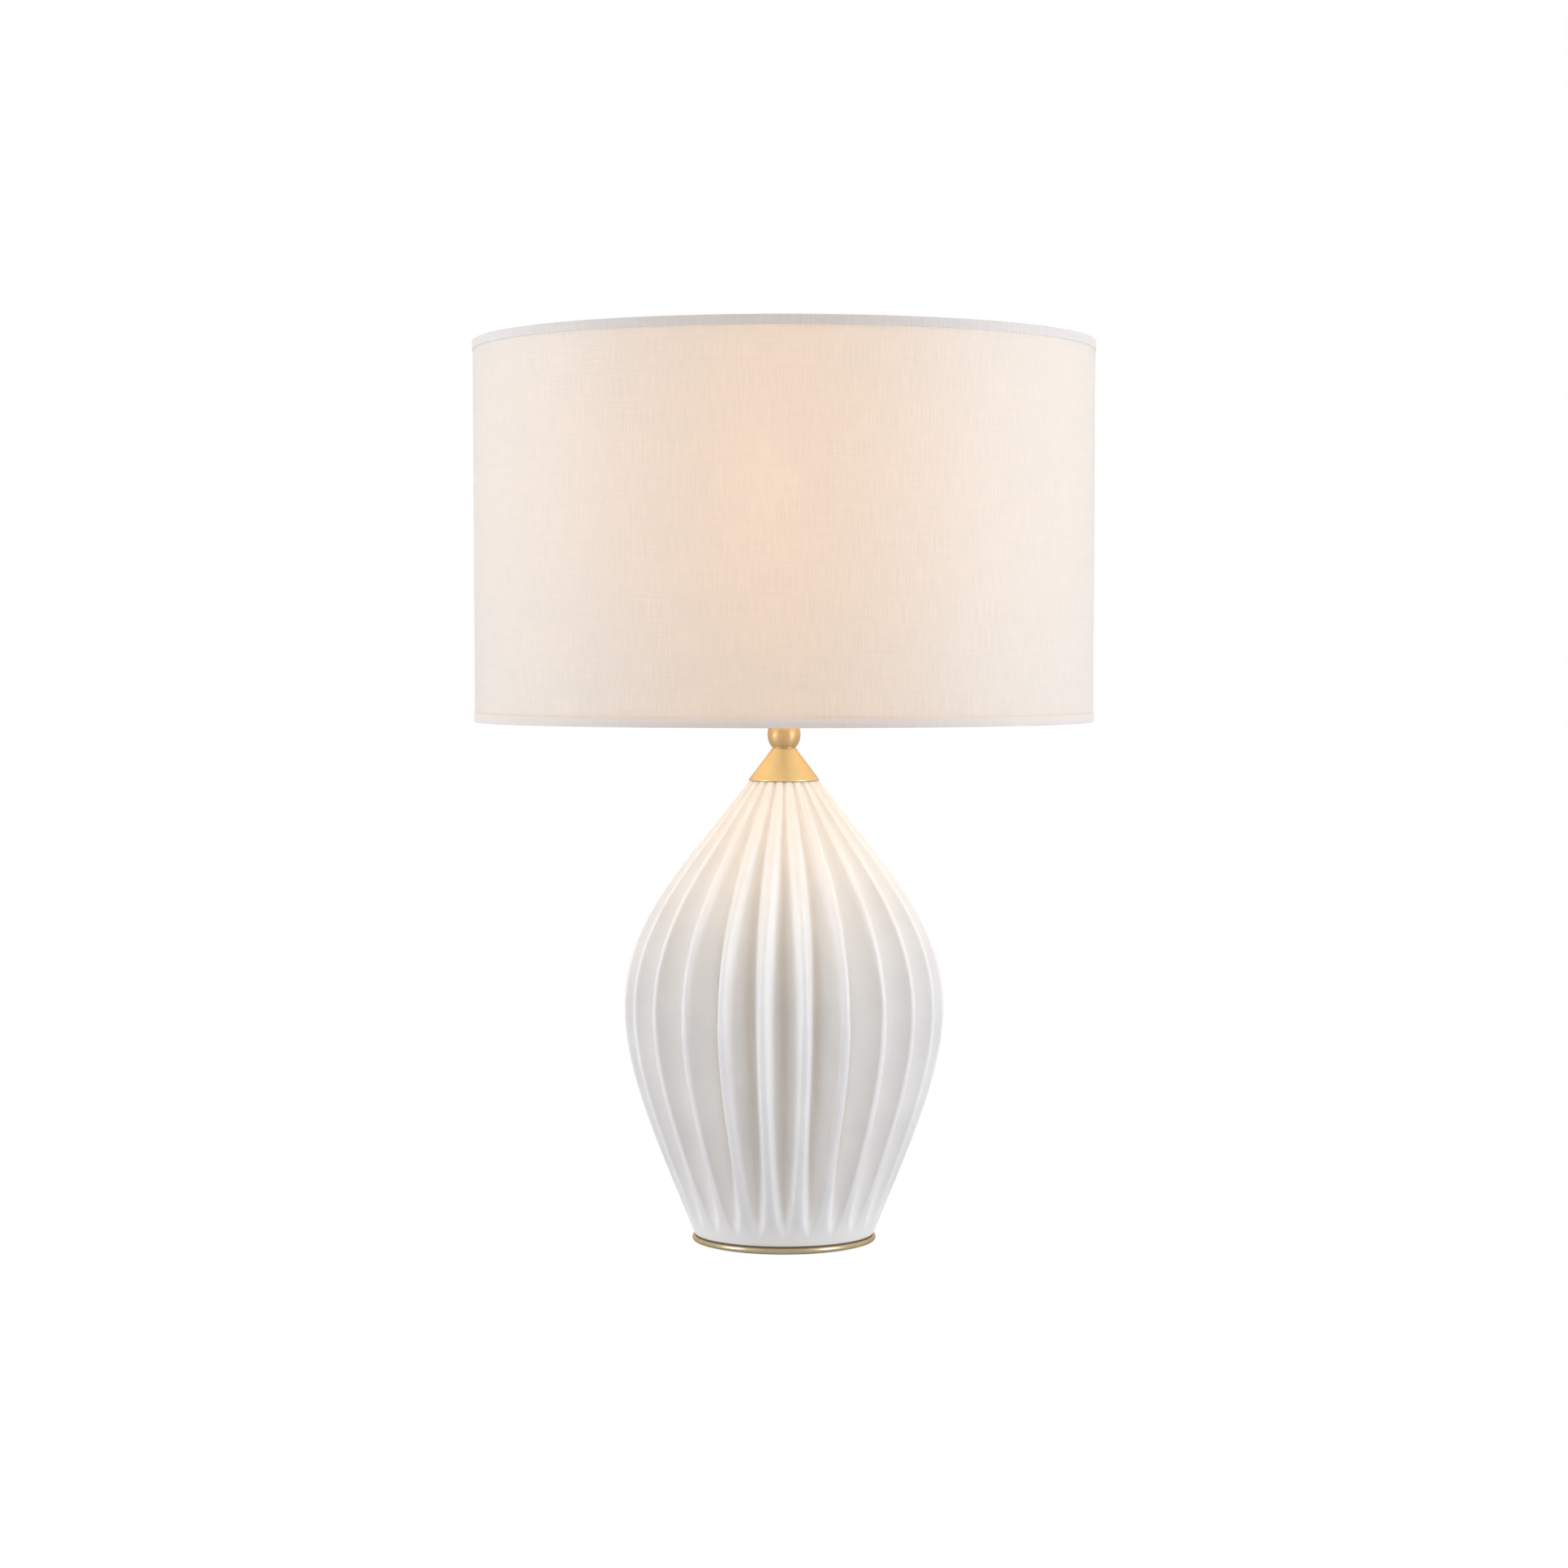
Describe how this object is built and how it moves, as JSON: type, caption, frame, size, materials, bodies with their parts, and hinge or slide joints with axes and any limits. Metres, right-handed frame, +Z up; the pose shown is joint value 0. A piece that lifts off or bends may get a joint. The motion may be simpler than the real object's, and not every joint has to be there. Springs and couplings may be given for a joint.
{
  "type": "table lamp",
  "caption": "Table lamp with a fluted teardrop porcelain body on a brass base plate, a brass cone and ball neck and a wide drum shade.",
  "frame": {"origin": "on the table under the stem, at the middle of the felt pad's lower face", "axes": "+Z up along the stem, +Y to the back of the lamp where the cord leaves, +X to the right as seen from the front"},
  "size_m": [0.4014, 0.4014, 0.5821],
  "materials": {
    "felt_pad": "felt",
    "base_plate": "antique brushed",
    "ballast_ring": "rough cast",
    "foot_ring": "matte",
    "porcelain_body": "satin white glaze",
    "cord_bushing": "satin",
    "stem": "zinc plated, threaded",
    "clamp_washer": "zinc plated",
    "spring_washer": "spring steel",
    "clamp_nut": "zinc plated",
    "crown_ring": "matte",
    "centring_washer": "zinc plated",
    "neck_cone": "brushed",
    "neck_ball": "brushed",
    "holder_cap": "satin",
    "holder_insulator": "unglazed",
    "terminal_screws": "plain",
    "centre_contact": "plain",
    "screw_shell": "pressed",
    "holder_barrel": "moulded thermoset",
    "switch_bar": "moulded",
    "shade_ring": "moulded thermoset",
    "bulb_tip": "solder",
    "bulb_glass": "black vitreous",
    "bulb_cap": "nickel plated",
    "bulb_housing": "satin white",
    "light_board": "white solder mask",
    "light_chips": "phosphor, lit",
    "bulb_diffuser": "opal, lit",
    "fitter_ring": "white powder coat",
    "fitter_arms": "white powder coat",
    "bottom_hoop": "white powder coat",
    "top_hoop": "white powder coat",
    "shade_liner": "translucent white sheet",
    "shade_linen": "fine linen weave, translucent",
    "bottom_hem": "folded linen tape",
    "top_hem": "folded linen tape"
  },
  "bodies": {
    "base": {"felt_pad": "felt_pad", "base_plate": "base_plate", "ballast_ring": "ballast_ring", "foot_ring": "foot_ring", "porcelain_body": "porcelain_body", "cord_bushing": "cord_bushing", "stem": "stem", "clamp_washer": "clamp_washer", "spring_washer": "spring_washer", "clamp_nut": "clamp_nut", "crown_ring": "crown_ring", "centring_washer": "centring_washer", "neck_cone": "neck_cone", "neck_ball": "neck_ball", "holder_cap": "holder_cap", "holder_insulator": "holder_insulator", "terminal_screws": "terminal_screws", "centre_contact": "centre_contact", "screw_shell": "screw_shell", "holder_barrel": "holder_barrel"},
    "switch_bar": {"switch_bar": "switch_bar"},
    "shade_ring": {"shade_ring": "shade_ring"},
    "bulb_contact": {"bulb_tip": "bulb_tip"},
    "bulb": {"bulb_glass": "bulb_glass", "bulb_cap": "bulb_cap", "bulb_housing": "bulb_housing", "light_board": "light_board", "light_chips": "light_chips", "bulb_diffuser": "bulb_diffuser"},
    "shade": {"fitter_ring": "fitter_ring", "fitter_arms": "fitter_arms", "bottom_hoop": "bottom_hoop", "top_hoop": "top_hoop", "shade_liner": "shade_liner", "shade_linen": "shade_linen", "bottom_hem": "bottom_hem", "top_hem": "top_hem"}
  },
  "joints": [
    {"name": "switch_push", "type": "slide", "parent": "base", "child": "switch_bar", "axis": [-1, 0, 0], "range_m": [0, 0.008]},
    {"name": "bulb_rise", "type": "slide", "parent": "base", "child": "bulb_contact", "axis": [0, 0, 1], "range_m": [0, 0.0182]},
    {"name": "bulb_turn", "type": "hinge", "parent": "bulb_contact", "child": "bulb", "pos_m": [0, 0, 0.405], "axis": [0, 0, 1], "range_deg": [0, 1800]},
    {"name": "shade_turn", "type": "hinge", "parent": "base", "child": "shade", "pos_m": [0, 0, 0.377], "axis": [0, 0, 1], "continuous": true},
    {"name": "ring_turn", "type": "hinge", "parent": "base", "child": "shade_ring", "pos_m": [0, 0, 0.38], "axis": [0, 0, 1], "range_deg": [0, 720]}
  ],
  "couplings": [
    {"joint": "bulb_rise", "follows": "bulb_turn", "m_per_rad": 0.00057758}
  ]
}
